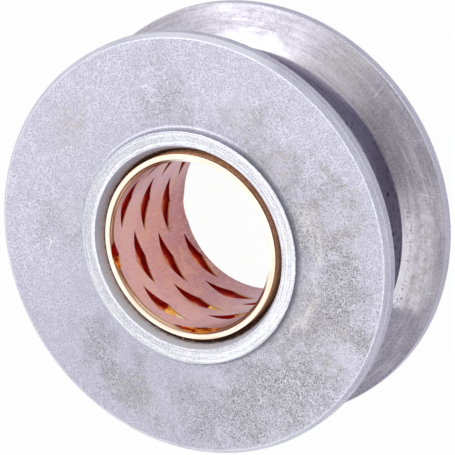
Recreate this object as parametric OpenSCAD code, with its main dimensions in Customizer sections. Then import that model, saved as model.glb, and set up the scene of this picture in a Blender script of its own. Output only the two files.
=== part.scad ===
// V groove wheel: a one-piece steel wheel that turns on a pressed-in bronze bushing.
// The wheel's axis is Z, its middle plane is z = 0, and both faces are alike.

/* [Rim] */
// Diameter over the rim
wheel_d = 100; // [90:1:120]
// Width across the rim faces
rim_w = 34.5; // [32.5:0.5:35]
// Radial size of the bevel round each rim face
bevel_radial = 0.9; // [0.4:0.1:1.5]
// Axial size of the bevel round each rim face
bevel_axial = 1.3; // [0.4:0.1:1.5]

/* [V groove] */
// Depth of the groove below the rim
groove_depth = 9.3; // [7:0.1:10]
// Width of the flat floor of the groove
floor_w = 18.4; // [14:0.1:18.8]
// Angle between the two flanks of the groove
groove_angle = 50; // [30:1:52]
// Width of the broken edge along the mouth of the groove
mouth_break = 0.25; // [0.1:0.05:0.4]

/* [Hub] */
// Width over the two hub faces
hub_w = 38; // [37.5:0.5:44]
// Diameter of the raised hub
hub_d = 55.3; // [52:0.1:60]
// Radius of the fillet where the hub rises from the rim face
hub_fillet = 1.1; // [0.5:0.1:1.2]
// Diameter of the mouth of the lead-in that guides the bushing
lead_d = 48.4; // [47:0.1:50]
// Depth of the lead-in below the hub face
lead_depth = 5.4; // [3:0.1:7]

/* [Bushing] */
// Bore of the bushing, which runs on the axle
bore_d = 40; // [38:0.5:40.5]
// Outside diameter of the bushing, the same as its seat in the wheel
bush_d = 44; // [43.5:0.1:45]
// Length of the bushing
bush_l = 36.3; // [34:0.1:37]
// Radial size of the chamfer at each end of the bore
bore_chamfer_radial = 0.9; // [0.4:0.1:0.9]
// Axial size of the chamfer at each end of the bore
bore_chamfer_axial = 1.05; // [0.4:0.05:2]
// Broken edge round the outside of each end
bush_break = 0.25; // [0.1:0.05:0.3]

/* [Lubrication pockets] */
// Length of a pocket round the bore
pocket_l = 13.1; // [10:0.1:14]
// Width of a pocket along the bore
pocket_w = 4.6; // [3:0.1:5]
// Depth of a pocket at its middle
pocket_depth = 0.85; // [0.4:0.05:1.1]
// Distance along the bore from a pocket to the next one on its steep line
pocket_pitch = 10.63; // [10:0.01:13]
// Angle that each pocket is turned from the last one on its steep line
pocket_lead = 9.6; // [6:0.1:14]
// Number of steep lines round the bore
pocket_lines = 9; // [7:1:10]
// Angle of the pattern's first pocket
first_pocket_angle = 90; // [0:1:360]
// Height of the pattern's first pocket
first_pocket_z = -3; // [-8:0.5:8]

/* [Hidden] */
$fn = 96;

wheel_r = wheel_d / 2;
floor_r = wheel_r - groove_depth;
mouth_half = floor_w / 2 + groove_depth * tan(groove_angle / 2);
hub_r = hub_d / 2;
bore_r = bore_d / 2;
bush_r = bush_d / 2;

// How far the fillet's section reaches into the hub and the rim face that it joins
fillet_root = 1;

// The pattern drops by this many pitches in one full turn, a whole number so that it closes on itself
pocket_drop = 4;

// Steep lines stand this far apart round the bore, and each starts this much higher than the last
line_step = (360 - pocket_drop * pocket_lead) / pocket_lines;
line_rise = pocket_drop * pocket_pitch / pocket_lines;

// A pocket is the overlap of two ring-shaped grooves that cross at this angle to the wheel's plane
ring_tilt = atan(pocket_w / pocket_l);
ring_half_w = pocket_l / 2 * sin(ring_tilt);
// Section radius of a ring that is pocket_depth deep and as wide as the pocket's shape needs
ring_section_r = (pow(ring_half_w, 2) + pow(pocket_depth, 2)) / (2 * pocket_depth);
// The box that picks one crossing out of the two rings spans their depth at a pocket's tips, twice over
tip_angle = pocket_l / 2 / bore_r * 180 / PI;
pocket_reach = 2 * (bore_r + pocket_depth - bore_r * cos(tip_angle));
pocket_margin = 1;

// Upper half of the wheel's section, from the bore seat round to the groove floor
upper_half = [
    [bush_r, hub_w / 2 - lead_depth],
    [lead_d / 2, hub_w / 2],
    [hub_r, hub_w / 2],
    [hub_r, rim_w / 2],
    [wheel_r - bevel_radial, rim_w / 2],
    [wheel_r, rim_w / 2 - bevel_axial],
    [wheel_r, mouth_half + mouth_break],
    [wheel_r - mouth_break, mouth_half - mouth_break * tan(groove_angle / 2)],
    [floor_r, floor_w / 2],
];

// The same half turned over, in reverse order, so that the two join into one outline
function turned_over(points) =
    [for (i = [len(points) - 1 : -1 : 0]) [points[i].x, -points[i].y]];

// The fillet in the corner between the hub and the upper rim face, a ring rooted in both
module hub_fillet_ring() {
    side = fillet_root + hub_fillet;
    rotate_extrude()
        translate([hub_r - fillet_root, rim_w / 2 - fillet_root])
            difference() {
                square(side);
                translate([side, side])
                    circle(hub_fillet);
            }
}

// The wheel: rim, two flanges with the V groove between them, web and hub, turned as one piece
module wheel() {
    color("lightsteelblue")
        union() {
            rotate_extrude()
                polygon(concat(upper_half, turned_over(upper_half)));
            hub_fillet_ring();
            mirror([0, 0, 1])
                hub_fillet_ring();
        }
}

// One ring of round section, tilted about the line from the axis to the pocket
module tilted_ring(tilt) {
    rotate([tilt, 0, 0])
        rotate_extrude()
            translate([bore_r + pocket_depth - ring_section_r, 0])
                circle(ring_section_r);
}

// Cutter for one pocket: a rhombus with its long diagonal round the bore and a dished bottom
module pocket_cutter() {
    intersection() {
        tilted_ring(ring_tilt);
        tilted_ring(-ring_tilt);
        translate([bore_r + pocket_depth - pocket_reach / 2, 0, 0])
            cube([pocket_reach, pocket_l + pocket_margin, pocket_w + pocket_margin], center = true);
    }
}

// Every pocket of the pattern whose middle lies between the ends of the bore
module pocket_pattern() {
    rows = ceil(bush_l / pocket_pitch) + pocket_drop;
    for (line = [0 : pocket_lines - 1])
        for (row = [-rows : rows]) {
            z = first_pocket_z + line * line_rise - row * pocket_pitch;
            if (abs(z) < bush_l / 2 + bush_break)
                rotate([0, 0, first_pocket_angle + line * line_step + row * pocket_lead])
                    translate([0, 0, z])
                        pocket_cutter();
        }
}

// Section of the plain bushing before its pockets are pressed
upper_half_bush = [
    [bore_r, bush_l / 2 - bore_chamfer_axial],
    [bore_r + bore_chamfer_radial, bush_l / 2],
    [bush_r - bush_break, bush_l / 2],
    [bush_r, bush_l / 2 - bush_break],
];

// The bronze bushing, with its outside on the wheel's seat and rows of pockets in its bore
module bushing() {
    color("peru")
        difference() {
            rotate_extrude()
                polygon(concat(upper_half_bush, turned_over(upper_half_bush)));
            pocket_pattern();
        }
}

wheel();
bushing();
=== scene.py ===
import math

import bmesh
import bpy
from mathutils import Matrix, Vector, noise


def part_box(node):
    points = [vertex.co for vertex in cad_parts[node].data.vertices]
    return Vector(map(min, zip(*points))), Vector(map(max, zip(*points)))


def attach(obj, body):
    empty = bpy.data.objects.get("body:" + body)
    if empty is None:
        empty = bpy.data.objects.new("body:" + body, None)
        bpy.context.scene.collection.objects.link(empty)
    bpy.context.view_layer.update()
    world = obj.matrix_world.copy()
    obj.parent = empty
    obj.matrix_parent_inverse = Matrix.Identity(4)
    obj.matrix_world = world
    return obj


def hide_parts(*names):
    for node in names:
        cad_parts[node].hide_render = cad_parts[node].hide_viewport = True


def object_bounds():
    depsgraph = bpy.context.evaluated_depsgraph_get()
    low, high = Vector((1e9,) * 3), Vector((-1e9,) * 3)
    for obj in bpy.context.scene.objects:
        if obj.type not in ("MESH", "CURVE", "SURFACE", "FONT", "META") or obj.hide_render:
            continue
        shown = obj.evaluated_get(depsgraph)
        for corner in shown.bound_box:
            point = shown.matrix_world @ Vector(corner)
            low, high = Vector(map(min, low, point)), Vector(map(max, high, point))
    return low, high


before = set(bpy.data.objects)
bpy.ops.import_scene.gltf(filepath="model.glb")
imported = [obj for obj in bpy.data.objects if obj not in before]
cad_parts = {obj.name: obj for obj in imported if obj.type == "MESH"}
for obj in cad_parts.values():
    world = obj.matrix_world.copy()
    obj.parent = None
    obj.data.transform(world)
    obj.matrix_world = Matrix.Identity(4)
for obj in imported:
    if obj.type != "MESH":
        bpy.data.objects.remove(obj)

cad_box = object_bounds()

# ---------------------------------------------------------------------------------------------------------
# Studio: the wheel lies flat on a pale floor. The camera looks down on its upper face from the front, and
# is rolled so that the axle line runs from lower left to upper right. Lengths here are in metres, apart
# from the camera's lens and sensor, which are in millimetres.
# ---------------------------------------------------------------------------------------------------------
CAMERA_ELEVATION = math.radians(57.72)
CAMERA_ROLL = math.radians(-120.0)
CAMERA_DISTANCE = 1.1496
CAMERA_LENS = 392.8
FRAMING_SHIFT = (0.0037, -0.0028)
AIR_COLOUR = (0.93, 0.94, 1.0, 1)
AIR_STRENGTH = 0.42
WHITE_IN_AIR = 1.0
WHITE_ON_FLOOR = 0.97
FLOOR_HALF = 4.0
FLOOR_GREY = (0.9, 0.9, 0.9, 1)

camera_data = bpy.data.cameras.new("camera")
camera_data.lens = CAMERA_LENS
camera_data.sensor_width = 36.0
camera_data.shift_x, camera_data.shift_y = FRAMING_SHIFT
camera_data.clip_end = 20.0
camera = bpy.data.objects.new("camera", camera_data)
bpy.context.scene.collection.objects.link(camera)
camera_turn = Matrix.Rotation(math.pi / 2 - CAMERA_ELEVATION, 4, "X") @ Matrix.Rotation(CAMERA_ROLL, 4, "Z")
camera.matrix_world = camera_turn @ Matrix.Translation((0, 0, CAMERA_DISTANCE))
bpy.context.scene.camera = camera
bpy.context.scene.view_settings.view_transform = "Standard"


def soft_box(name, place, size, power):
    """A rectangular studio lamp at place, turned to face the wheel."""
    data = bpy.data.lights.new(name, "AREA")
    data.shape = "RECTANGLE"
    data.size, data.size_y = size
    data.energy = power
    lamp = bpy.data.objects.new(name, data)
    lamp.location = place
    lamp.rotation_euler = (-Vector(place)).to_track_quat("-Z", "Y").to_euler()
    bpy.context.scene.collection.objects.link(lamp)


soft_box("overhead_box", place=(0.0, 0.25, 1.3), size=(1.3, 1.3), power=3.0)
soft_box("left_box", place=(0.65, 0.09, 0.86), size=(0.42, 0.6), power=2.2)


def add_node(tree, kind, inputs=None, **settings):
    """Adds a shader node; inputs gives its sockets a value or another node's output."""
    node = tree.nodes.new("ShaderNode" + kind)
    for name, value in settings.items():
        setattr(node, name, value)
    for key, value in (inputs or {}).items():
        if isinstance(value, bpy.types.NodeSocket):
            tree.links.new(value, node.inputs[key])
        else:
            node.inputs[key].default_value = value
    return node


def maths(tree, operation, *terms):
    """Arithmetic on numbers, each of which may change over the surface."""
    return add_node(tree, "Math", dict(enumerate(terms)), operation=operation).outputs[0]


def show_white(tree, shader, output, white_share):
    """Shows plain white for the rays that come from the camera, from gloss and through glass."""
    path = add_node(tree, "LightPath").outputs
    seen = maths(tree, "MAXIMUM", path["Is Camera Ray"], path["Is Glossy Ray"])
    seen = maths(tree, "MAXIMUM", seen, path["Is Transmission Ray"])
    share = maths(tree, "MULTIPLY", seen, white_share)
    white = add_node(tree, "Emission", {"Color": (1, 1, 1, 1), "Strength": 1.0})
    mix = add_node(tree, "MixShader", {0: share, 1: shader.outputs[0], 2: white.outputs[0]})
    tree.links.new(mix.outputs[0], output.inputs["Surface"])


world = bpy.data.worlds.new("studio_air")
bpy.context.scene.world = world
world.use_nodes = True
air = world.node_tree.nodes["Background"]
air.inputs["Color"].default_value = AIR_COLOUR
air.inputs["Strength"].default_value = AIR_STRENGTH
show_white(world.node_tree, air, world.node_tree.nodes["World Output"], WHITE_IN_AIR)


def add_object(name, shape):
    """Puts a finished shape into the scene as an object of its own."""
    data = bpy.data.meshes.new(name)
    shape.to_mesh(data)
    shape.free()
    thing = bpy.data.objects.new(name, data)
    bpy.context.scene.collection.objects.link(thing)
    return thing


floor_shape = bmesh.new()
bmesh.ops.create_grid(floor_shape, x_segments=1, y_segments=1, size=FLOOR_HALF)
bmesh.ops.translate(floor_shape, verts=floor_shape.verts, vec=(0, 0, cad_box[0][2]))
floor = add_object("studio_floor", floor_shape)
floor_paint = bpy.data.materials.new("studio_floor")
floor_paint.use_nodes = True
floor_tree = floor_paint.node_tree
matt = floor_tree.nodes["Principled BSDF"]
matt.inputs["Base Color"].default_value = FLOOR_GREY
matt.inputs["Roughness"].default_value = 0.9
matt.inputs["Specular IOR Level"].default_value = 0.1
show_white(floor_tree, matt, floor_tree.nodes["Material Output"], WHITE_ON_FLOOR)
floor.data.materials.append(floor_paint)

# ---------------------------------------------------------------------------------------------------------
# Wheel: one piece of steel, shot-blasted on the rim faces and turned on the hub, the bevels, the rim and the
# groove, whose floor is left dark and pitted. It is one outline spun round the axle, with worn edges.
# Lengths from here on are in millimetres, and directions round the axle are in degrees from +X.
# ---------------------------------------------------------------------------------------------------------
MM = 0.001
WHEEL_R = cad_box[1][0] / MM
HUB_Z = cad_box[1][2] / MM
SEAT_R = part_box("bushing")[1][0] / MM
RIM_WIDTH = 34.5
FACE_Z = RIM_WIDTH / 2
BEVEL_RADIAL = 0.9
BEVEL_AXIAL = 1.3
FACE_EDGE_R = WHEEL_R - BEVEL_RADIAL
GROOVE_FLOOR_R = 40.7
GROOVE_FLOOR_HALF = 9.2
FLANK_LEAN = math.radians(25)
GROOVE_MOUTH_HALF = GROOVE_FLOOR_HALF + (WHEEL_R - GROOVE_FLOOR_R) * math.tan(FLANK_LEAN)
HUB_R = 27.65
HUB_FILLET = 1.1
LEAD_R = 24.2
LEAD_DEPTH = 5.4


def vectors(tree, operation, first, second=(0, 0, 0)):
    """Arithmetic on vectors. Lengths, distances and dot products come back as numbers."""
    node = add_node(tree, "VectorMath", {0: first, 1: second}, operation=operation)
    return node.outputs["Value" if operation in ("LENGTH", "DISTANCE", "DOT_PRODUCT") else "Vector"]


def scaled(tree, vector, scale):
    """A vector made longer or shorter."""
    return add_node(tree, "VectorMath", {0: vector, "Scale": scale}, operation="SCALE").outputs["Vector"]


def part_of(tree, vector, axis):
    """One coordinate of a vector."""
    return add_node(tree, "SeparateXYZ", {0: vector}).outputs[axis]


def vector_of(tree, x, y, z):
    """A vector with the given coordinates."""
    return add_node(tree, "CombineXYZ", {"X": x, "Y": y, "Z": z}).outputs[0]


def clouds(tree, place, scale, detail=2.0, roughness=0.5):
    """Soft three-dimensional noise from 0 to 1, centred on 0.5; scale is in features per millimetre."""
    inputs = {"Vector": place, "Scale": scale, "Detail": detail, "Roughness": roughness}
    return add_node(tree, "TexNoise", inputs).outputs[0]


def ramp(tree, value, low, high, at_low=0.0, at_high=1.0):
    """Eases from at_low to at_high while value goes from low to high, and is level outside them."""
    inputs = {"Value": value, "From Min": low, "From Max": high, "To Min": at_low, "To Max": at_high}
    return add_node(tree, "MapRange", inputs, interpolation_type="SMOOTHSTEP").outputs["Result"]


def opaque(colour):
    """A red, green and blue as a socket wants them; another node's colour stays as it is."""
    return colour if isinstance(colour, bpy.types.NodeSocket) else (*colour, 1)


def blend(tree, share, first, second):
    """Goes from the first colour to the second as share goes from 0 to 1."""
    inputs = {0: share, 6: opaque(first), 7: opaque(second)}
    return add_node(tree, "Mix", inputs, data_type="RGBA").outputs[2]


def tint(tree, colour, other, value, low, high, share=1.0):
    """Blends another colour into a colour as value goes from low to high, up to the given share."""
    return blend(tree, ramp(tree, value, low, high, 0.0, share), colour, other)


def off_line(tree, value, line):
    """How far a value is from a line, on either side of it."""
    return maths(tree, "ABSOLUTE", maths(tree, "SUBTRACT", value, line))


def strongest(tree, masks):
    """The strongest of several masks at each place."""
    most = masks[0]
    for mask in masks[1:]:
        most = maths(tree, "MAXIMUM", most, mask)
    return most


def shared_effect(name, inputs, outputs):
    """Starts a node group with named sockets; returns its tree and what goes in and comes out."""
    tree = bpy.data.node_groups.new(name, "ShaderNodeTree")
    for socket, kind, value in inputs:
        tree.interface.new_socket(socket, in_out="INPUT", socket_type=kind).default_value = value
    for socket, kind in outputs:
        tree.interface.new_socket(socket, in_out="OUTPUT", socket_type=kind)
    given = tree.nodes.new("NodeGroupInput").outputs
    wanted = tree.nodes.new("NodeGroupOutput").inputs
    return tree, given, wanted


def use(tree, effect, inputs=None):
    """Puts a shared effect into a material and returns its outputs."""
    return add_node(tree, "Group", inputs, node_tree=effect).outputs


NUMBER, VECTOR = "NodeSocketFloat", "NodeSocketVector"


def make_place_on_wheel():
    """Where a point is on the wheel, in millimetres: its place, its radius and its height."""
    tree, _, wanted = shared_effect(
        "place_on_wheel", [], [("Place", VECTOR), ("Radius", NUMBER), ("Height", NUMBER)])
    place = scaled(tree, add_node(tree, "TexCoord").outputs["Object"], 1 / MM)
    flat = vectors(tree, "MULTIPLY", place, (1, 1, 0))
    tree.links.new(place, wanted["Place"])
    tree.links.new(vectors(tree, "LENGTH", flat), wanted["Radius"])
    tree.links.new(part_of(tree, place, "Z"), wanted["Height"])
    return tree


place_on_wheel = make_place_on_wheel()


def make_turned_lines():
    """Lines that a tool leaves round the axle, Pitch apart and about Run long, and wider streaks. Across is
    the radius or the height, whichever the tool moved along."""
    tree, given, wanted = shared_effect(
        "turned_lines", [("Across", NUMBER, 0.0), ("Pitch", NUMBER, 0.3), ("Run", NUMBER, 20.0)],
        [("Lines", NUMBER), ("Streaks", NUMBER)])
    place = use(tree, place_on_wheel)["Place"]
    step = maths(tree, "DIVIDE", given["Across"], given["Pitch"])
    along_x = maths(tree, "DIVIDE", part_of(tree, place, "X"), given["Run"])
    along_y = maths(tree, "DIVIDE", part_of(tree, place, "Y"), given["Run"])
    spot = vector_of(tree, step, along_x, along_y)
    wider = vectors(tree, "MULTIPLY", spot, (0.22, 1.6, 1.6))
    tree.links.new(clouds(tree, spot, 1.0, 3.0, 0.6), wanted["Lines"])
    tree.links.new(clouds(tree, wider, 1.0, 2.0, 0.5), wanted["Streaks"])
    return tree


turned_lines = make_turned_lines()


def make_specks():
    """A grainy skin with small dark pits about Size apart, larger and closer where Cover is more."""
    tree, given, wanted = shared_effect(
        "specks", [("Size", NUMBER, 0.5), ("Cover", NUMBER, 0.3), ("Patch", NUMBER, 15.0)],
        [("Specks", NUMBER), ("Grain", NUMBER), ("Grit", NUMBER)])
    place = use(tree, place_on_wheel)["Place"]
    per_grain = maths(tree, "DIVIDE", 1.0, given["Size"])
    per_patch = maths(tree, "DIVIDE", 1.0, given["Patch"])
    per_pit = maths(tree, "DIVIDE", 1.0, maths(tree, "MULTIPLY", given["Size"], 1.5))
    grain = clouds(tree, place, per_grain, 3.0, 0.8)
    patches = clouds(tree, place, per_patch, 6.0, 0.7)
    thick = maths(tree, "MULTIPLY", ramp(tree, patches, 0.3, 0.7, 0.5, 1.0), given["Cover"])
    shaken = add_node(tree, "TexNoise", {"Vector": place, "Scale": per_grain, "Detail": 2.0}).outputs["Color"]
    shaken = vectors(tree, "ADD", place, scaled(tree, shaken, given["Size"]))
    near_pit = add_node(tree, "TexVoronoi", {"Vector": shaken, "Scale": per_pit}).outputs["Distance"]
    pit_reach = maths(tree, "MULTIPLY_ADD", thick, 0.24, 0.04)
    pits = ramp(tree, maths(tree, "SUBTRACT", pit_reach, near_pit), -0.1, 0.12)
    dark = maths(tree, "MAXIMUM", pits, ramp(tree, grain, 0.5, 0.7, 0.0, 0.75))
    tree.links.new(maths(tree, "MULTIPLY", dark, ramp(tree, thick, 0.0, 1.0)), wanted["Specks"])
    tree.links.new(grain, wanted["Grain"])
    tree.links.new(ramp(tree, clouds(tree, place, per_grain, 2.0, 0.6), 0.37, 0.54), wanted["Grit"])
    return tree


specks = make_specks()


def make_scratch():
    """A thin straight scratch that starts at the place Start and has the length and direction of Along."""
    tree, given, wanted = shared_effect(
        "scratch", [("Start", VECTOR, (0, 0, 0)), ("Along", VECTOR, (1, 0, 0)), ("Width", NUMBER, 0.2)],
        [("Scratch", NUMBER)])
    place = use(tree, place_on_wheel)["Place"]
    from_start = vectors(tree, "SUBTRACT", place, given["Start"])
    whole = vectors(tree, "DOT_PRODUCT", given["Along"], given["Along"])
    travel = vectors(tree, "DOT_PRODUCT", from_start, given["Along"])
    share = add_node(tree, "Clamp", {"Value": maths(tree, "DIVIDE", travel, whole)}).outputs[0]
    away = vectors(tree, "DISTANCE", from_start, scaled(tree, given["Along"], share))
    tree.links.new(ramp(tree, away, given["Width"], 0.0), wanted["Scratch"])
    return tree


scratch = make_scratch()


def scratched(tree, marks, colour, scratch_colour):
    """Adds scratches to a colour; each mark gives a start, an end and a width."""
    for start, end, width in marks:
        along = tuple(b - a for a, b in zip(start, end))
        mark = use(tree, scratch, {"Start": start, "Along": along, "Width": width})
        colour = blend(tree, mark["Scratch"], colour, scratch_colour)
    return colour


def towards(tree, where, degrees):
    """How near a place is to a direction round the axle: 1 in it, 0 at right angles to it, -1 opposite."""
    way = (math.cos(math.radians(degrees)), math.sin(math.radians(degrees)), 0.0)
    return maths(tree, "DIVIDE", vectors(tree, "DOT_PRODUCT", where["Place"], way), where["Radius"])


def metal(name, metallic, roughness):
    """A bare metal material; returns it with its tree and its shader."""
    material = bpy.data.materials.new(name)
    material.use_nodes = True
    shader = material.node_tree.nodes["Principled BSDF"]
    shader.inputs["Metallic"].default_value = metallic
    shader.inputs["Roughness"].default_value = roughness
    return material, material.node_tree, shader


def finish_with(tree, shader, colour, roughness, height, depth, normal=None):
    """Feeds a shader its colour and roughness, and a bump of the given depth in millimetres."""
    tree.links.new(colour, shader.inputs["Base Color"])
    tree.links.new(roughness, shader.inputs["Roughness"])
    bump = add_node(tree, "Bump", {"Height": height, "Distance": depth * MM, "Strength": 1.0})
    if normal:
        tree.links.new(normal, bump.inputs["Normal"])
    tree.links.new(bump.outputs[0], shader.inputs["Normal"])


# The blasted rim faces. A spot is a place on the upper face, given by its X and Y, and how far it spreads.
ROUGH_SPOTS = [
    ((-13, -30), 15), ((-25, -27), 17), ((-31, -15), 17), ((-38, -3), 17), ((-37, 9), 17), ((-34, 20), 15),
    ((3, -31), 13), ((20, -27), 13), ((30, -13), 15), ((20, 25), 14), ((-9, 36), 10), ((-20, 33), 11)]
CLEAN_SPOTS = [
    ((-21, -21), 7), ((-39, -19), 7), ((-30, 14), 7), ((23, -28), 8), ((5, -30), 6), ((-42, 22), 6),
    ((20, 23), 7)]
STAINS = [
    ((-33, -14), 6), ((-24, 31), 9), ((-29, -17), 15), ((-12, -35), 11), ((4, -32), 9), ((17, -28), 8),
    ((40, 15), 9)]
# Each scratch on it has a start, an end and a width
FACE_SCRATCHES = [
    ((18.6, 33.7), (17.4, 32.3), 0.16), ((17.4, 32.3), (15.9, 34.7), 0.14),
    ((27.7, -25.8), (26.3, -26.1), 0.16), ((37.0, -10.1), (36.9, -11.4), 0.16),
    ((-43.3, -7.0), (-45.1, -7.6), 0.18), ((30.0, -30.0), (31.6, -28.6), 0.12)]
# The side of the face with painted shade, the smeared side and the lit side by the hub, and where the smears
# and the painted highlight along the edge lie
FACE_SHADE_SIDE = 118.0
SMEARED_SIDE = -133.0
HUB_LIT_SIDE = -14.0
SMEAR_R = 31.0
EDGE_HIGHLIGHT_R = FACE_EDGE_R - 0.6


def from_face_spot(tree, place, spot):
    """Millimetres from a spot on the upper rim face."""
    return vectors(tree, "DISTANCE", place, (*spot, FACE_Z))


def rough_and_shaded_cover(tree, place, straying, clean):
    """How roughly a place was blasted: more round the rough spots and less where it is clean. It also grows
    towards -X, which darkens that side as painted shade.
    """
    # Growing towards -X: painted shade on that side.
    cover = ramp(tree, part_of(tree, place, "X"), 20.0, -30.0, 0.35, 0.55)
    for spot, reach in ROUGH_SPOTS:
        away = maths(tree, "ADD", from_face_spot(tree, place, spot), straying)
        cover = maths(tree, "ADD", cover, ramp(tree, away, reach, 0.0, 0.0, 0.5))
    return maths(tree, "MINIMUM", maths(tree, "MULTIPLY_ADD", clean, -0.25, cover), 1.2)


def blasted_grain(tree, where, rough, grit):
    """Pale steel with a dense dark grain, mottled at three scales, darker and dotted where it is rough."""
    place = where["Place"]
    light = blend(tree, rough, (0.70, 0.685, 0.785), (0.81, 0.80, 0.87))
    dark = blend(tree, rough, (0.42, 0.41, 0.49), (0.05, 0.046, 0.055))
    colour = blend(tree, grit["Grit"], dark, light)
    fine_mottle = blend(tree, rough, (0.48, 0.465, 0.55), (0.24, 0.23, 0.25))
    colour = tint(tree, colour, fine_mottle, clouds(tree, place, 0.9, 3.0, 0.6), 0.54, 0.4, 0.36)
    broad_mottle = blend(tree, rough, (0.49, 0.475, 0.56), (0.40, 0.39, 0.42))
    colour = tint(tree, colour, broad_mottle, clouds(tree, place, 0.5, 4.0, 0.75), 0.58, 0.38, 0.4)
    colour = tint(tree, colour, (0.42, 0.41, 0.48), where["Radius"], 39.0, 30.0, 0.14)
    turned = use(tree, turned_lines, {"Across": where["Radius"], "Pitch": 0.5, "Run": 9.0})["Lines"]
    colour = tint(tree, colour, (0.45, 0.44, 0.51), turned, 0.55, 0.8, 0.3)
    colour = tint(tree, colour, (0.50, 0.49, 0.575), clouds(tree, place, 0.4, 3.0, 0.6), 0.54, 0.36, 0.2)
    dots = maths(tree, "MULTIPLY", ramp(tree, grit["Grain"], 0.52, 0.62, 0.0, 0.75), rough)
    colour = blend(tree, dots, colour, (0.12, 0.11, 0.125))
    glints = maths(tree, "MULTIPLY", ramp(tree, grit["Grain"], 0.46, 0.28, 0.0, 0.55), rough)
    return blend(tree, glints, colour, (0.90, 0.89, 0.97))


def stained(tree, place, straying, colour):
    """Adds brownish stains with ragged edges."""
    patchy = ramp(tree, clouds(tree, place, 0.5, 6.0, 0.75), 0.4, 0.62)
    for spot, reach in STAINS:
        away = maths(tree, "ADD", from_face_spot(tree, place, spot), straying)
        stain = maths(tree, "MULTIPLY", patchy, ramp(tree, away, reach, 0.0, 0.0, 0.5))
        colour = blend(tree, stain, colour, (0.42, 0.405, 0.38))
    return colour


def smeared(tree, where, grain, colour):
    """Adds pale dried smears that run round the hub on one side."""
    lines = use(tree, turned_lines, {"Across": where["Radius"], "Pitch": 2.6, "Run": 9.0})["Lines"]
    lines = maths(tree, "MULTIPLY_ADD", maths(tree, "SUBTRACT", grain, 0.5), 0.5, lines)
    on_side = ramp(tree, towards(tree, where, SMEARED_SIDE), 0.72, 0.93)
    in_ring = ramp(tree, off_line(tree, where["Radius"], SMEAR_R), 4.0, 1.5)
    smear = maths(tree, "MULTIPLY", on_side, in_ring)
    smear = maths(tree, "MULTIPLY", smear, ramp(tree, lines, 0.42, 0.62, 0.0, 0.8))
    return blend(tree, smear, colour, (0.71, 0.70, 0.71))


def shade_beside_hub(tree, where, colour):
    """Adds painted shade in the corner round the hub, fading out on the lit side, and a painted highlight
    along the fillet's edge on that side.
    """
    hub_lit = ramp(tree, towards(tree, where, HUB_LIT_SIDE), 0.55, 0.95)
    # Painted shade in the corner round the hub, faded out on the lit side.
    corner_shade = ramp(tree, where["Radius"], HUB_R + 1.05, HUB_R + 0.15, 0.0, 0.55)
    corner_shade = maths(tree, "MULTIPLY", corner_shade, maths(tree, "MULTIPLY_ADD", hub_lit, -0.8, 1.0))
    colour = blend(tree, corner_shade, colour, (0.20, 0.195, 0.24))
    # A painted highlight along the fillet's edge on the lit side.
    ridge_highlight = ramp(tree, off_line(tree, where["Radius"], HUB_R + 0.7), 0.35, 0.05)
    ridge_highlight = maths(tree, "MULTIPLY", ridge_highlight, maths(tree, "MULTIPLY", hub_lit, 0.55))
    return blend(tree, ridge_highlight, colour, (0.86, 0.86, 0.93))


def blasted_face():
    """The rim faces: shot-blasted, rougher and stained in patches, with painted shade on one side and round
    the hub, and painted highlights along the bevel and by the hub.
    """
    material, tree, shader = metal("blasted_steel", 0.9, 0.6)
    where = use(tree, place_on_wheel)
    place = where["Place"]
    straying = maths(tree, "MULTIPLY_ADD", clouds(tree, place, 0.13, 5.0, 0.7), 40.0, -20.0)
    clean = strongest(tree, [
        ramp(tree, from_face_spot(tree, place, spot), reach, reach * 0.2) for spot, reach in CLEAN_SPOTS])
    cover = rough_and_shaded_cover(tree, place, straying, clean)
    grit = use(tree, specks, {"Size": 0.43, "Cover": cover, "Patch": 6.0})
    colour = blasted_grain(tree, where, ramp(tree, cover, 0.4, 1.1), grit)
    colour = blend(tree, maths(tree, "MULTIPLY", clean, 0.2), colour, (0.68, 0.67, 0.73))
    # Painted shade on one side of the face.
    colour = tint(tree, colour, (0.42, 0.41, 0.49), towards(tree, where, FACE_SHADE_SIDE), 0.5, 0.95, 0.3)
    colour = stained(tree, place, straying, colour)
    colour = smeared(tree, where, grit["Grain"], colour)
    colour = blend(tree, grit["Specks"], colour, (0.22, 0.21, 0.24))
    colour = shade_beside_hub(tree, where, colour)
    # A painted highlight along the face's outer edge, by the bevel.
    colour = tint(tree, colour, (0.82, 0.81, 0.90), where["Radius"], EDGE_HIGHLIGHT_R, FACE_EDGE_R, 0.45)
    marks = [((*start, FACE_Z), (*end, FACE_Z), width) for start, end, width in FACE_SCRATCHES]
    colour = scratched(tree, marks, colour, (0.86, 0.86, 0.92))
    roughness = ramp(tree, grit["Grain"], 0.3, 0.7, 0.66, 0.54)
    finish_with(tree, shader, colour, roughness, maths(tree, "SUBTRACT", 1.0, grit["Specks"]), 0.03)
    return material


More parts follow.
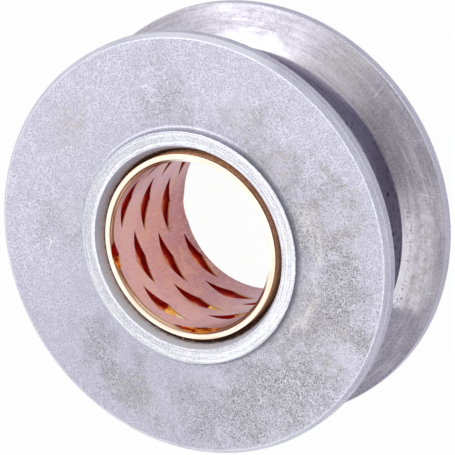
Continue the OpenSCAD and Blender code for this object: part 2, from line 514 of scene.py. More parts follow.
def turned_hub():
    """The hub's two faces: turned bright, with fine lines and a few wide steps from the tool."""
    material, tree, shader = metal("turned_hub_steel", 0.95, 0.4)
    radius = use(tree, place_on_wheel)["Radius"]
    cut = use(tree, turned_lines, {"Across": radius, "Pitch": 0.3, "Run": 4.0})
    fine = use(tree, turned_lines, {"Across": radius, "Pitch": 0.2, "Run": 1.3})["Lines"]
    steps = use(tree, turned_lines, {"Across": radius, "Pitch": 0.62, "Run": 45.0})["Lines"]
    grit = use(tree, specks, {"Size": 0.36, "Cover": 0.25, "Patch": 7.0})
    colour = tint(tree, (0.50, 0.495, 0.555), (0.74, 0.74, 0.78), cut["Lines"], 0.34, 0.66)
    colour = tint(tree, colour, (0.88, 0.88, 0.91), fine, 0.52, 0.72, 0.4)
    colour = tint(tree, colour, (0.42, 0.415, 0.48), steps, 0.54, 0.40, 0.75)
    colour = tint(tree, colour, (0.93, 0.93, 0.97), steps, 0.52, 0.62, 0.5)
    colour = tint(tree, colour, (0.36, 0.35, 0.41), fine, 0.42, 0.26, 0.35)
    colour = tint(tree, colour, (0.34, 0.33, 0.39), grit["Grit"], 0.7, 0.0, 0.28)
    colour = tint(tree, colour, (0.90, 0.90, 0.94), grit["Grit"], 0.7, 1.0, 0.3)
    colour = blend(tree, grit["Specks"], colour, (0.30, 0.28, 0.33))
    finish_with(tree, shader, colour, ramp(tree, cut["Streaks"], 0.3, 0.7, 0.36, 0.46), cut["Lines"], 0.02)
    return material


# The lead-in: the painted shadow in the gap round the bushing fades out between the first two radii, and
# bronze dust between the next two
GAP_SHADOW_R = (23.2, 23.65)
DUST_R = (23.4, 23.9)
GAP_SHADOW_WIDE_SIDE = 170.0
LEAD_LIT_SIDE = 125.0


def smooth_lead():
    """The lead-in: smooth and bluish, with painted light on one side, painted shadow in the gap round the
    bushing, and bronze dust there.
    """
    material, tree, shader = metal("lead_in_steel", 0.15, 0.5)
    where = use(tree, place_on_wheel)
    place, radius = where["Place"], where["Radius"]
    cut = use(tree, turned_lines, {"Across": where["Height"], "Pitch": 0.5, "Run": 3.0})
    colour = tint(tree, (0.55, 0.62, 0.78), (0.66, 0.74, 0.92), cut["Lines"], 0.3, 0.7)
    # Painted light on one side.
    colour = tint(tree, colour, (0.86, 0.93, 1.0), towards(tree, where, LEAD_LIT_SIDE), 0.0, 1.0, 0.85)
    # Painted shadow in the gap round the bushing, reaching farther on one side.
    ragged = maths(tree, "MULTIPLY_ADD", clouds(tree, place, 1.2, 3.0, 0.6), 0.5, radius)
    ragged = maths(tree, "MULTIPLY_ADD", towards(tree, where, GAP_SHADOW_WIDE_SIDE), -0.18, ragged)
    colour = tint(tree, colour, (0.05, 0.032, 0.028), ragged, GAP_SHADOW_R[1], GAP_SHADOW_R[0])
    dust = ramp(tree, clouds(tree, place, 2.2, 1.0, 0.5), 0.66, 0.72)
    dust = maths(tree, "MULTIPLY", dust, ramp(tree, radius, DUST_R[1], DUST_R[0]))
    colour = blend(tree, dust, colour, (0.95, 0.66, 0.48))
    finish_with(tree, shader, colour, ramp(tree, cut["Streaks"], 0.3, 0.7, 0.45, 0.6), cut["Lines"], 0.01)
    return material


# The bevels and the rim's lands, with painted shade on one side and a painted highlight on another
RIM_SHADE_SIDE = -95.0
RIM_HIGHLIGHT_SIDE = -38.0


def turned_rim(name, light, dark, across, depth, rim_highlight):
    """A turned surface out at the rim, with painted shade on one side and a painted highlight on another."""
    material, tree, shader = metal(name, 0.95, 0.45)
    where = use(tree, place_on_wheel)
    cut = use(tree, turned_lines, {"Across": where[across], "Pitch": 0.35, "Run": 7.0})
    grit = use(tree, specks, {"Size": 0.45, "Cover": 0.45, "Patch": 7.0})
    colour = tint(tree, dark, light, cut["Lines"], 0.3, 0.7)
    colour = tint(tree, colour, (0.86, 0.85, 0.95), grit["Grit"], 0.4, 1.0, 0.45)
    # Painted shade on one side, and a painted highlight on another.
    colour = tint(tree, colour, (0.36, 0.35, 0.45), towards(tree, where, RIM_SHADE_SIDE), -0.2, 0.6, 0.4)
    colour = tint(tree, colour, (0.93, 0.92, 1.0), towards(tree, where, RIM_HIGHLIGHT_SIDE), 0.9, 0.99, rim_highlight)
    colour = blend(tree, maths(tree, "MULTIPLY", grit["Specks"], 0.7), colour, (0.16, 0.15, 0.18))
    finish_with(tree, shader, colour, ramp(tree, cut["Streaks"], 0.3, 0.7, 0.38, 0.55), cut["Lines"], depth)
    return material


# The rounded edges
EDGE_DULL_SIDE = -135.0


def worn_and_highlit_edge():
    """The rounded edges: pale from wear and painted bright as a highlight, but dull on one side of the lower
    flank's flange.
    """
    material, tree, shader = metal("worn_and_highlit_edge_steel", 1.0, 0.35)
    where = use(tree, place_on_wheel)
    grit = use(tree, specks, {"Size": 0.5, "Cover": 0.5, "Patch": 5.0})
    # Pale from wear, and brighter as a painted highlight.
    colour = tint(tree, (0.88, 0.87, 0.95), (0.56, 0.55, 0.65), grit["Grain"], 0.3, 0.65)
    colour = blend(tree, maths(tree, "MULTIPLY", grit["Specks"], 0.7), colour, (0.25, 0.24, 0.27))
    dulled = ramp(tree, towards(tree, where, EDGE_DULL_SIDE), 0.6, 0.95, 0.0, 0.6)
    dulled = maths(tree, "MULTIPLY", dulled, maths(tree, "LESS_THAN", where["Height"], 0.0))
    colour = blend(tree, dulled, colour, (0.34, 0.33, 0.39))
    finish_with(tree, shader, colour, ramp(tree, grit["Grain"], 0.3, 0.7, 0.3, 0.45), grit["Grain"], 0.02)
    return material


# The groove's flanks. The painted patch of light on the lower one fades in and out between these angles from
# +X.
LIGHT_PATCH_START = (math.radians(-148), math.radians(-146))
LIGHT_PATCH_END = (math.radians(-103), math.radians(-121))
PIT_ROW_R = 42.4
ROOT_HIGHLIGHT_SIDE = -54.0
SHADED_SIDE = -93.0
# Places on the lower flank: where, how far they spread, and their colour. The first is painted shadow, the
# others stains and tarnish
FLANK_SHADOW_AND_STAINS = [
    ((-46, -6, -11), 30, (0.22, 0.205, 0.28)), ((17, -41, -11), 9, (0.37, 0.35, 0.36)),
    ((6, -41, -10), 7, (0.33, 0.31, 0.315)), ((28, -38, -12), 6, (0.42, 0.40, 0.47))]
FLANK_SCRATCHES = [
    ((-5.9, -46.4, -11.9), (-5.3, -49.2, -13.2), 0.16), ((-4.6, -47.6, -12.5), (-5.3, -49.2, -13.2), 0.14),
    ((8.6, -44.8, -11.5), (9.6, -47.6, -12.8), 0.12), ((-9.5, -44.5, -11.5), (-13.6, -45.5, -12.4), 0.12),
    ((-15.5, -42.3, -11.2), (-18.2, -44.8, -12.8), 0.12),
    ((-36.4, -30.4, -12.3), (-37.4, -31.6, -13.0), 0.16)]


def painted_light_patch(tree, where, lower, colour):
    """Adds a painted patch of light on the lower flank, palest at its root, with a row of pits in it."""
    place, radius = where["Place"], where["Radius"]
    round_angle = maths(tree, "ARCTAN2", part_of(tree, place, "Y"), part_of(tree, place, "X"))
    wander = maths(tree, "SUBTRACT", clouds(tree, place, 0.4, 4.0, 0.6), 0.5)
    ragged = maths(tree, "MULTIPLY_ADD", wander, 0.1, round_angle)
    light_patch = maths(tree, "MULTIPLY", ramp(tree, ragged, *LIGHT_PATCH_START), ramp(tree, ragged, *LIGHT_PATCH_END))
    light_patch = maths(tree, "MULTIPLY", light_patch, lower)
    mottle = clouds(tree, place, 0.7, 6.0, 0.75)
    mottled = tint(tree, (0.66, 0.63, 0.70), (0.45, 0.42, 0.435), mottle, 0.38, 0.62)
    pale = tint(tree, (0.90, 0.87, 0.96), mottled, radius, 42.0, 44.4)
    pale = tint(tree, pale, colour, radius, 46.2, 48.4)
    # The painted patch of light.
    colour = blend(tree, light_patch, colour, pale)
    pits = use(tree, specks, {"Size": 0.62, "Cover": 1.15, "Patch": 3.0})["Specks"]
    in_row = ramp(tree, off_line(tree, radius, PIT_ROW_R), 0.9, 0.35)
    pits = maths(tree, "MULTIPLY", pits, maths(tree, "MULTIPLY", in_row, light_patch))
    return blend(tree, pits, colour, (0.05, 0.045, 0.055))


def groove_flank():
    """The groove's flanks: turned, darker than the rest as painted shade in the groove, with tarnish, a
    painted shadow, painted shade on one side, a painted highlight at the root and a painted patch of light.
    """
    material, tree, shader = metal("turned_flank_steel", 1.0, 0.34)
    where = use(tree, place_on_wheel)
    place, radius = where["Place"], where["Radius"]
    cut = use(tree, turned_lines, {"Across": radius, "Pitch": 0.34, "Run": 6.0})
    bands = use(tree, turned_lines, {"Across": radius, "Pitch": 1.5, "Run": 11.0})["Lines"]
    runs = use(tree, turned_lines, {"Across": radius, "Pitch": 0.7, "Run": 14.0})["Lines"]
    grit = use(tree, specks, {"Size": 0.42, "Cover": 0.3, "Patch": 7.0})
    # Darker than the rest of the wheel: painted shade in the groove.
    colour = tint(tree, (0.275, 0.26, 0.31), (0.35, 0.335, 0.39), bands, 0.3, 0.7)
    colour = tint(tree, colour, (0.50, 0.48, 0.54), cut["Lines"], 0.45, 0.75, 0.5)
    # The first place gives a painted shadow, the others stains and tarnish.
    for spot, reach, tone in FLANK_SHADOW_AND_STAINS:
        away = vectors(tree, "DISTANCE", place, spot)
        colour = tint(tree, colour, tone, away, reach, reach * 0.3, 0.8)
    lower = maths(tree, "LESS_THAN", where["Height"], 0.0)
    # A painted highlight at the root on one side, streaked by the turned lines.
    at_root = ramp(tree, radius, 46.0, 41.0)
    root_highlight = maths(tree, "MULTIPLY", at_root, ramp(tree, towards(tree, where, ROOT_HIGHLIGHT_SIDE), 0.84, 0.96))
    root_highlight = maths(tree, "MULTIPLY", root_highlight, ramp(tree, cut["Lines"], 0.3, 0.6, 0.55, 1.0))
    colour = blend(tree, maths(tree, "MULTIPLY", root_highlight, lower), colour, (0.64, 0.62, 0.68))
    shaded = ramp(tree, towards(tree, where, SHADED_SIDE), 0.93, 0.99, 0.0, 0.35)
    colour = blend(tree, maths(tree, "MULTIPLY", shaded, lower), colour, (0.18, 0.17, 0.215))
    colour = painted_light_patch(tree, where, lower, colour)
    colour = tint(tree, colour, (0.62, 0.59, 0.63), clouds(tree, place, 0.6, 4.0, 0.7), 0.4, 0.6, 0.12)
    colour = tint(tree, colour, (0.66, 0.64, 0.69), runs, 0.52, 0.66, 0.25)
    colour = tint(tree, colour, (0.20, 0.19, 0.22), runs, 0.48, 0.34, 0.3)
    colour = tint(tree, colour, (0.14, 0.13, 0.15), grit["Grit"], 0.5, 0.0, 0.2)
    colour = tint(tree, colour, (0.62, 0.61, 0.66), grit["Grit"], 0.5, 1.0, 0.16)
    colour = blend(tree, grit["Specks"], colour, (0.13, 0.12, 0.14))
    colour = scratched(tree, FLANK_SCRATCHES, colour, (0.66, 0.65, 0.72))
    finish_with(tree, shader, colour, ramp(tree, cut["Streaks"], 0.3, 0.7, 0.3, 0.4), cut["Lines"], 0.006)
    return material


# The groove's floor
FLOOR_HIGHLIGHT_SIDE = -52.0
FLOOR_SOILED_SIDE = -118.0


def groove_floor():
    """The groove's floor: dark and pitted, with painted light along its middle, a painted highlight by the
    flanks on one side, and soiled on another.
    """
    material, tree, shader = metal("pitted_floor_steel", 0.85, 0.6)
    where = use(tree, place_on_wheel)
    grit = use(tree, specks, {"Size": 0.9, "Cover": 0.75, "Patch": 5.0})
    cut = use(tree, turned_lines, {"Across": where["Height"], "Pitch": 0.7, "Run": 14.0})["Lines"]
    off_middle = maths(tree, "ABSOLUTE", where["Height"])
    colour = tint(tree, (0.18, 0.165, 0.255), (0.26, 0.24, 0.35), cut, 0.3, 0.7)
    # Lighter along the middle of the floor: painted light.
    colour = tint(tree, colour, (0.44, 0.43, 0.52), off_middle, 3.6, 1.8, 0.8)
    # A painted highlight by the flanks on one side.
    floor_highlight = ramp(tree, towards(tree, where, FLOOR_HIGHLIGHT_SIDE), 0.88, 0.99)
    floor_highlight = maths(tree, "MULTIPLY", ramp(tree, off_middle, 6.0, 9.0), floor_highlight)
    colour = blend(tree, floor_highlight, colour, (0.50, 0.48, 0.58))
    soiled = ramp(tree, towards(tree, where, FLOOR_SOILED_SIDE), 0.86, 0.98)
    colour = blend(tree, maths(tree, "MULTIPLY", soiled, 0.45), colour, (0.12, 0.105, 0.15))
    big_pits = use(tree, specks, {"Size": 1.5, "Cover": 0.9, "Patch": 4.0})["Specks"]
    colour = blend(tree, maths(tree, "MULTIPLY", big_pits, soiled), colour, (0.004, 0.004, 0.006))
    colour = blend(tree, grit["Specks"], colour, (0.012, 0.011, 0.016))
    height = maths(tree, "SUBTRACT", grit["Grain"], grit["Specks"])
    finish_with(tree, shader, colour, ramp(tree, grit["Grain"], 0.3, 0.7, 0.7, 0.5), height, 0.06)
    return material


finishes = {
    "hub": turned_hub(),
    "lead": smooth_lead(),
    "face": blasted_face(),
    "bevel": turned_rim(
        "turned_bevel_steel", light=(0.70, 0.69, 0.80), dark=(0.50, 0.49, 0.59),
        across="Radius", depth=0.015, rim_highlight=0.5),
    # The land's colours are darker than the bevel's: painted shade, as it faces out sideways.
    "land": turned_rim(
        "turned_land_steel", light=(0.54, 0.52, 0.65), dark=(0.42, 0.40, 0.52),
        across="Height", depth=0.02, rim_highlight=0.0),
    "flank": groove_flank(),
    "floor": groove_floor(),
    "edge": worn_and_highlit_edge(),
}

# Corners of the upper half of the outline: radius, height, how round the corner is, the finish of its arc,
# and the finish of the stretch that follows it
CORNERS = [
    (SEAT_R, 0.0, 0.0, None, "lead"),
    (SEAT_R, HUB_Z - LEAD_DEPTH, 0.1, "edge", "lead"),
    (LEAD_R, HUB_Z, 0.15, "edge", "hub"),
    (HUB_R, HUB_Z, 0.2, "edge", "face"),
    (HUB_R, FACE_Z, HUB_FILLET, "face", "face"),
    (FACE_EDGE_R, FACE_Z, 0.25, "edge", "bevel"),
    (WHEEL_R, FACE_Z - BEVEL_AXIAL, 0.3, "edge", "land"),
    (WHEEL_R, GROOVE_MOUTH_HALF, 0.25, "edge", "flank"),
    (GROOVE_FLOOR_R, GROOVE_FLOOR_HALF, 0.3, "floor", "floor"),
    (GROOVE_FLOOR_R, 0.0, 0.0, None, "floor"),
]
EDGE_STEPS = 4
FILLET_STEPS = 6
# Extra points stand this far along the stretches on either side of an arc, which keeps their shading flat
SHOULDERS = (0.08, 0.7)
# They are left out where they would come near the middle of a stretch
SHOULDER_LIMIT = 0.45
ROUND_STEPS = 480


def rounded_outline(corners):
    """Points and finishes along the corners, each rounded by an arc with shoulders on either side."""
    places = [Vector(corner[:2]) for corner in corners]
    trims = [0.0] * len(corners)
    for i in range(1, len(corners) - 1):
        half = (places[i - 1] - places[i]).angle(places[i + 1] - places[i]) / 2
        trims[i] = corners[i][2] / math.tan(half)
    points = [(places[0], corners[0][4])]
    for i in range(1, len(corners) - 1):
        rounding, arc_finish, finish = corners[i][2:]
        back = places[i - 1] - places[i]
        ahead = places[i + 1] - places[i]
        room_back = back.length - trims[i - 1] - trims[i]
        room_ahead = ahead.length - trims[i] - trims[i + 1]
        back.normalize()
        ahead.normalize()
        first = places[i] + back * trims[i]
        last = places[i] + ahead * trims[i]
        middle = places[i] + (back + ahead).normalized() * math.hypot(rounding, trims[i])
        for shoulder in reversed(SHOULDERS):
            if shoulder < room_back * SHOULDER_LIMIT:
                points.append((first + back * shoulder, corners[i - 1][4]))
        arc_steps = FILLET_STEPS if rounding == HUB_FILLET else EDGE_STEPS
        for step in range(arc_steps + 1):
            spoke = (first - middle).normalized().slerp((last - middle).normalized(), step / arc_steps)
            points.append((middle + spoke * rounding, arc_finish if step < arc_steps else finish))
        for shoulder in SHOULDERS:
            if shoulder < room_ahead * SHOULDER_LIMIT:
                points.append((last + ahead * shoulder, finish))
    points.append((places[-1], corners[-1][4]))
    return points


upper_half = rounded_outline(CORNERS)
lower_half = [(Vector((point.x, -point.y)), finish) for point, finish in upper_half]
# The lower half runs back from the groove floor to the seat, so each stretch takes the finish of its far end
outline = [point for point, _ in upper_half] + [point for point, _ in reversed(lower_half[1:-1])]
stretches = [finish for _, finish in upper_half[:-1]] + [finish for _, finish in reversed(lower_half[:-1])]

wheel_shape = bmesh.new()
station = wheel_shape.verts.layers.int.new("station")
ring = []
for index, point in enumerate(outline):
    vert = wheel_shape.verts.new((point.x * MM, 0, point.y * MM))
    vert[station] = index
    ring.append(vert)
edges = [wheel_shape.edges.new((ring[i], ring[(i + 1) % len(ring)])) for i in range(len(ring))]
bmesh.ops.spin(
    wheel_shape, geom=ring + edges, cent=(0, 0, 0), axis=(0, 0, 1), dvec=(0, 0, 0),
    angle=2 * math.pi, steps=ROUND_STEPS, use_merge=True, use_duplicate=False)
bmesh.ops.remove_doubles(wheel_shape, verts=wheel_shape.verts, dist=0.002 * MM)
bmesh.ops.recalc_face_normals(wheel_shape, faces=wheel_shape.faces)
# A face lies on the stretch after its lower station, apart from those between the last station and the first
finish_names = list(finishes)
for face in wheel_shape.faces:
    low, high = min(v[station] for v in face.verts), max(v[station] for v in face.verts)
    face.material_index = finish_names.index(stretches[high if high - low > 1 else low])
    face.smooth = True

# The hub's outer edge is slightly uneven, where the cutter tore small burrs off it
BURR_HEIGHT = 0.08
BURR_BAND_RADIAL = 0.25
BURR_BAND_AXIAL = 0.4
for vert in wheel_shape.verts:
    radius = vert.co.xy.length / MM
    if abs(radius - HUB_R) < BURR_BAND_RADIAL and abs(vert.co.z) / MM > HUB_Z - BURR_BAND_AXIAL:
        ragged = noise.noise(vert.co / MM * 0.9) + 0.6 * noise.noise(vert.co / MM * 2.3)
        vert.co.xy *= 1 + BURR_HEIGHT * ragged / radius

wheel = add_object("grooved_wheel", wheel_shape)
for material in finishes.values():
    wheel.data.materials.append(material)
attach(wheel, "root")
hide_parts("wheel")

# ---------------------------------------------------------------------------------------------------------
# Bushing: a rolled bronze sleeve pressed into the hub. Its ends are freshly faced, its bore is smooth and
# pink, darker deeper in as painted shade, and the lubrication pockets pressed into it are painted a deep,
# shiny red for the light that bounces inside them, with painted light, shade and highlights. It keeps its
# node's own mesh.
# ---------------------------------------------------------------------------------------------------------
BORE_R = 20.0
BUSH_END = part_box("bushing")[1][2] / MM
CHAMFER_RADIAL = 0.9
CHAMFER_AXIAL = 1.05
# No pocket reaches out to the first radius. The ends are worn beyond the second, and the outside of the
# sleeve lies beyond the third.
UNDER_POCKETS_R = 21.0
END_WORN_R = 21.6
OUTSIDE_R = 21.7
BORE_PINK_SIDE = 95.0
BORE_DULL_SIDE = 142.0
CHAMFER_TAN_SIDE = 30.0
CHAMFER_HIGHLIGHT_SIDE = -82.0
# Dark lines round the chamfer: how far along it they lie, and how wide they are
CHAMFER_LINES = [(0.18, 0.14), (0.78, 0.12)]
# Where old oil lies in the pockets, painted amber with highlights where the bronze shows bright through it,
# and how far it spreads
OIL_AND_HIGHLIGHT_SPOTS = [
    ((-12.4, 15.8, 11.2), 3.9), ((-15.9, 12.2, 1.5), 3.0), ((-18.4, 9.0, 17.4), 6.0),
    ((4.2, 20.0, 17.6), 2.6), ((-20.0, 4.0, 6.4), 3.6), ((-2.9, 20.0, 8.6), 1.3)]
# The row of pockets where the painted highlight in the oil turns pale in one direction: its height, half its
# width, and the direction
HIGHLIGHT_ROW_Z = 11.0
HIGHLIGHT_ROW_HALF = 3.2
HIGHLIGHT_WAY = (-0.79, -0.61, 0.0)


def bore_colour(tree, where, lengthwise):
    """Smooth pink bronze, darker deeper in as painted shade, with faint lengthwise lines, mauve tarnish and
    stray dark specks.
    """
    height = where["Height"]
    tone = clouds(tree, where["Place"], 0.16, 5.0, 0.7)
    # Darker the deeper into the bore: painted shade.
    colour = tint(tree, (0.74, 0.41, 0.40), (0.64, 0.285, 0.26), height, 12.0, 1.0)
    colour = tint(tree, colour, (0.47, 0.19, 0.19), height, 0.0, -11.0)
    colour = tint(tree, colour, (0.32, 0.145, 0.15), height, -13.0, -17.0)
    mauve = tint(tree, (0.58, 0.36, 0.42), (0.72, 0.45, 0.48), height, 3.0, 10.0)
    colour = tint(tree, colour, mauve, towards(tree, where, BORE_PINK_SIDE), 0.74, 0.38, 0.75)
    dull = ramp(tree, towards(tree, where, BORE_DULL_SIDE), 0.82, 0.98, 0.0, 0.5)
    dull = maths(tree, "MULTIPLY", dull, ramp(tree, height, 7.0, 2.0))
    colour = blend(tree, dull, colour, (0.36, 0.19, 0.24))
    colour = tint(tree, colour, (0.72, 0.38, 0.27), tone, 0.48, 0.62, 0.45)
    colour = tint(tree, colour, (0.52, 0.24, 0.30), tone, 0.50, 0.36, 0.45)
    colour = tint(tree, colour, (0.78, 0.52, 0.50), lengthwise, 0.48, 0.72, 0.45)
    colour = tint(tree, colour, (0.34, 0.15, 0.14), lengthwise, 0.48, 0.28, 0.45)
    stray = use(tree, specks, {"Size": 0.5, "Cover": 0.35, "Patch": 4.0})["Specks"]
    return blend(tree, stray, colour, (0.30, 0.10, 0.08))


def chamfer_colour(tree, where, into_chamfer, chamfer_highlight):
    """Turned tan bronze, darker towards the bore, with two dark lines and a painted highlight, near white, on
    one side.
    """
    lines = use(tree, turned_lines, {"Across": where["Height"], "Pitch": 0.42, "Run": 20.0})["Lines"]
    colour = tint(tree, (0.32, 0.13, 0.07), (0.60, 0.37, 0.25), into_chamfer, 0.0, 1.0)
    colour = tint(tree, colour, (0.82, 0.50, 0.36), towards(tree, where, CHAMFER_TAN_SIDE), 0.6, 0.95, 0.55)
    colour = tint(tree, colour, (0.84, 0.60, 0.43), lines, 0.5, 0.58, 0.7)
    colour = tint(tree, colour, (0.17, 0.06, 0.03), lines, 0.5, 0.42, 0.75)
    for line, width in CHAMFER_LINES:
        colour = tint(tree, colour, (0.19, 0.065, 0.03), off_line(tree, into_chamfer, line), width, 0.02, 0.7)
    # The painted highlight on one side.
    colour = blend(tree, chamfer_highlight, colour, (1.0, 0.98, 0.95))
    return tint(tree, colour, (0.90, 0.74, 0.62), into_chamfer, 0.86, 0.96)


def oil_and_highlights(tree, where):
    """Old oil in some of the pockets, painted amber with highlights where the bronze shows bright through it:
    where it lies, and its colour.
    """
    place, height = where["Place"], where["Height"]
    flakes = clouds(tree, vectors(tree, "MULTIPLY", place, (0.55, 0.55, 1.5)), 1.0, 2.0, 0.5)
    patches = []
    for spot, reach in OIL_AND_HIGHLIGHT_SPOTS:
        away = maths(tree, "MULTIPLY_ADD", flakes, -0.8, vectors(tree, "DISTANCE", place, spot))
        patches.append(ramp(tree, away, reach - 0.2, reach - 0.9))
    # The oil patches carry painted highlights as well as the oil's amber.
    oil = strongest(tree, patches)
    amber = tint(tree, (0.72, 0.20, 0.02), (0.98, 0.48, 0.08), flakes, 0.34, 0.5)
    in_row = maths(tree, "LESS_THAN", off_line(tree, height, HIGHLIGHT_ROW_Z), HIGHLIGHT_ROW_HALF)
    paler_highlight = ramp(tree, vectors(tree, "DOT_PRODUCT", place, HIGHLIGHT_WAY), -1.9, 0.6)
    paler_highlight = maths(tree, "MULTIPLY", in_row, paler_highlight)
    # Painted highlights, paler towards one side of the row.
    bright = blend(tree, paler_highlight, (0.95, 0.55, 0.16), (1.0, 0.86, 0.62))
    highlight_share = maths(tree, "MULTIPLY", paler_highlight, ramp(tree, flakes, 0.3, 0.5))
    highlight_share = maths(tree, "MAXIMUM", ramp(tree, flakes, 0.52, 0.64, 0.0, 0.8), highlight_share)
    amber = blend(tree, highlight_share, amber, bright)
    # Near the mouth the oil is thicker and darker, with gaps in it
    at_mouth = ramp(tree, height, 12.5, 14.5)
    amber = blend(tree, maths(tree, "MULTIPLY", at_mouth, 0.75), amber, (0.48, 0.085, 0.006))
    gaps = maths(tree, "MULTIPLY", at_mouth, ramp(tree, flakes, 0.5, 0.42, 0.0, 0.8))
    return maths(tree, "MULTIPLY", oil, maths(tree, "SUBTRACT", 1.0, gaps)), amber


def pocket_colour(tree, where, facing, depth):
    """Deep red painted in for the light that bounces inside the pocket, with painted shade where it faces up
    and painted light, glowing orange, in the half that faces down; a painted highlight, brown, at one end;
    old oil with painted highlights; and its shine.
    """
    place = where["Place"]
    tilt = part_of(tree, facing, "Z")
    streaks = clouds(tree, place, 0.7, 3.0, 0.6)
    # Deep red painted in for the light that bounces inside the pocket, darker as painted shade where it faces
    # up.
    red = tint(tree, (0.31, 0.0014, 0.0004), (0.60, 0.012, 0.0015), streaks, 0.35, 0.65)
    red = tint(tree, red, (0.17, 0.0006, 0.0003), tilt, 0.25, 0.6, 0.5)
    # Painted light, orange, on the half that faces down.
    orange = tint(tree, (0.60, 0.06, 0.012), (0.66, 0.24, 0.12), tilt, 0.2, 0.0)
    glow = ramp(tree, tilt, 0.34, 0.02)
    colour = blend(tree, glow, red, orange)
    backwards = maths(tree, "MULTIPLY", part_of(tree, place, "Y"), -1.0)
    sideways = vector_of(tree, backwards, part_of(tree, place, "X"), 0.0)
    # A painted highlight, brown, at the end of a pocket that faces one way round.
    tip_highlight = maths(tree, "DIVIDE", vectors(tree, "DOT_PRODUCT", facing, sideways), where["Radius"])
    tip_highlight = maths(tree, "MULTIPLY", ramp(tree, tip_highlight, -0.1, -0.2), ramp(tree, depth, 0.24, 0.08))
    colour = blend(tree, tip_highlight, colour, (0.52, 0.24, 0.07))
    oil, amber = oil_and_highlights(tree, where)
    colour = blend(tree, oil, colour, amber)
    shine = maths(tree, "MAXIMUM", maths(tree, "MULTIPLY", glow, 0.8), maths(tree, "MAXIMUM", oil, tip_highlight))
    return colour, shine


def end_colour(tree, where):
    """The faced end: creamy bright, with fine turned lines."""
    lines = use(tree, turned_lines, {"Across": where["Radius"], "Pitch": 0.3, "Run": 9.0})["Lines"]
    return tint(tree, (0.80, 0.60, 0.47), (0.95, 0.80, 0.69), lines, 0.36, 0.56)


def outside_colour(tree, where):
    """The outside, seen in the lead-in: brown and blotched, with dark spots."""
    blotches = clouds(tree, where["Place"], 0.8, 4.0, 0.7)
    colour = tint(tree, (1.0, 0.52, 0.29), (0.62, 0.22, 0.10), blotches, 0.42, 0.6, 0.6)
    spots = use(tree, specks, {"Size": 0.7, "Cover": 0.6, "Patch": 6.0})["Specks"]
    return blend(tree, spots, colour, (0.16, 0.07, 0.035))


def leaned(tree, share, normal, other):
    """A normal turned towards another by a share."""
    return add_node(tree, "Mix", {0: share, 4: normal, 5: other}, data_type="VECTOR").outputs[1]


def shining_normal(tree, where, facing, filled, flattened):
    """The way the bronze faces: inwards where oil fills a pocket level with the bore, leaning up near the
    mouth, and endwards where the end's edge, broken by wear, the chamfer's painted highlight and the outside
    catch the light."""
    place, height = where["Place"], where["Height"]
    inwards = vector_of(
        tree, maths(tree, "MULTIPLY", part_of(tree, place, "X"), -1.0),
        maths(tree, "MULTIPLY", part_of(tree, place, "Y"), -1.0), ramp(tree, height, 14.0, 16.5, 0.0, 24.0))
    endwards = vector_of(tree, 0.0, 0.0, ramp(tree, height, -1.0, 1.0, -1.0, 1.0))
    normal = leaned(tree, filled, facing, vectors(tree, "NORMALIZE", inwards))
    return vectors(tree, "NORMALIZE", leaned(tree, flattened, normal, endwards))


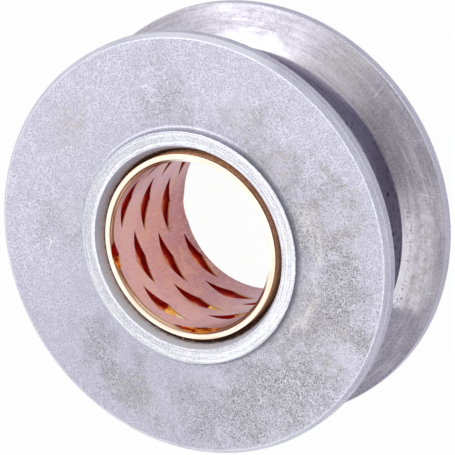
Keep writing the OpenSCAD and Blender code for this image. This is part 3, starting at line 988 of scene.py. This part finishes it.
def rolled_bronze():
    """The whole sleeve: each part of it is found by its radius and its height."""
    material, tree, shader = metal("rolled_bronze", 1.0, 0.3)
    shader.inputs["Specular IOR Level"].default_value = 0.1
    where = use(tree, place_on_wheel)
    radius = where["Radius"]
    facing = add_node(tree, "NewGeometry").outputs["Normal"]
    off_middle = maths(tree, "ABSOLUTE", where["Height"])
    into_chamfer = maths(tree, "SUBTRACT", off_middle, BUSH_END - CHAMFER_AXIAL)
    into_chamfer = maths(tree, "MAXIMUM", into_chamfer, 0.0)
    wall_r = maths(tree, "MULTIPLY_ADD", into_chamfer, CHAMFER_RADIAL / CHAMFER_AXIAL, BORE_R)
    depth = maths(tree, "SUBTRACT", radius, wall_r)
    on_chamfer = ramp(tree, into_chamfer, 0.0, 0.1)
    in_pocket = maths(tree, "LESS_THAN", radius, UNDER_POCKETS_R)
    in_pocket = maths(tree, "MULTIPLY", ramp(tree, depth, 0.01, 0.1), in_pocket)
    in_pocket = maths(tree, "MULTIPLY", in_pocket, maths(tree, "LESS_THAN", off_middle, BUSH_END - 0.01))
    # Where the end is worn it begins a little lower, and so takes in the broken edge round it
    worn_ring = maths(tree, "GREATER_THAN", radius, END_WORN_R)
    end_from = maths(tree, "MULTIPLY_ADD", worn_ring, -0.2, BUSH_END - 0.03)
    on_end = maths(tree, "GREATER_THAN", off_middle, end_from)
    outside = maths(tree, "GREATER_THAN", radius, OUTSIDE_R)
    outside = maths(tree, "MULTIPLY", outside, maths(tree, "SUBTRACT", 1.0, on_end))
    # The side of the chamfer that takes a painted highlight.
    chamfer_highlight = ramp(tree, towards(tree, where, CHAMFER_HIGHLIGHT_SIDE), 0.3, 0.75)
    chamfer_highlight = maths(tree, "MULTIPLY", on_chamfer, chamfer_highlight)

    lengthwise = clouds(tree, vectors(tree, "MULTIPLY", where["Place"], (3.0, 3.0, 0.4)), 1.0, 4.0, 0.7)
    pocket, shine = pocket_colour(tree, where, facing, depth)
    colour = bore_colour(tree, where, lengthwise)
    colour = blend(tree, on_chamfer, colour, chamfer_colour(tree, where, into_chamfer, chamfer_highlight))
    colour = blend(tree, in_pocket, colour, pocket)
    colour = blend(tree, on_end, colour, end_colour(tree, where))
    colour = blend(tree, outside, colour, outside_colour(tree, where))

    filled = maths(tree, "MULTIPLY", maths(tree, "MULTIPLY", shine, in_pocket), 0.85)
    worn_end = maths(tree, "MULTIPLY", on_end, worn_ring)
    flattened = strongest(tree, [worn_end, chamfer_highlight, maths(tree, "MULTIPLY", outside, 0.6)])
    flattened = maths(tree, "MULTIPLY", flattened, 0.8)
    normal = shining_normal(tree, where, facing, filled, flattened)
    # The dull red of the pockets and the brown of the outside are not bare metal
    dull = maths(tree, "MULTIPLY", in_pocket, maths(tree, "SUBTRACT", 1.0, shine))
    bare = maths(tree, "MULTIPLY_ADD", outside, -0.9, maths(tree, "MULTIPLY_ADD", dull, -0.85, 1.0))
    tree.links.new(bare, shader.inputs["Metallic"])
    roughness = maths(tree, "MULTIPLY_ADD", in_pocket, -0.05, ramp(tree, lengthwise, 0.3, 0.7, 0.3, 0.38))
    finish_with(tree, shader, colour, roughness, lengthwise, 0.004, normal)
    return material


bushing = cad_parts["bushing"]
bushing.data.materials.clear()
bushing.data.materials.append(rolled_bronze())
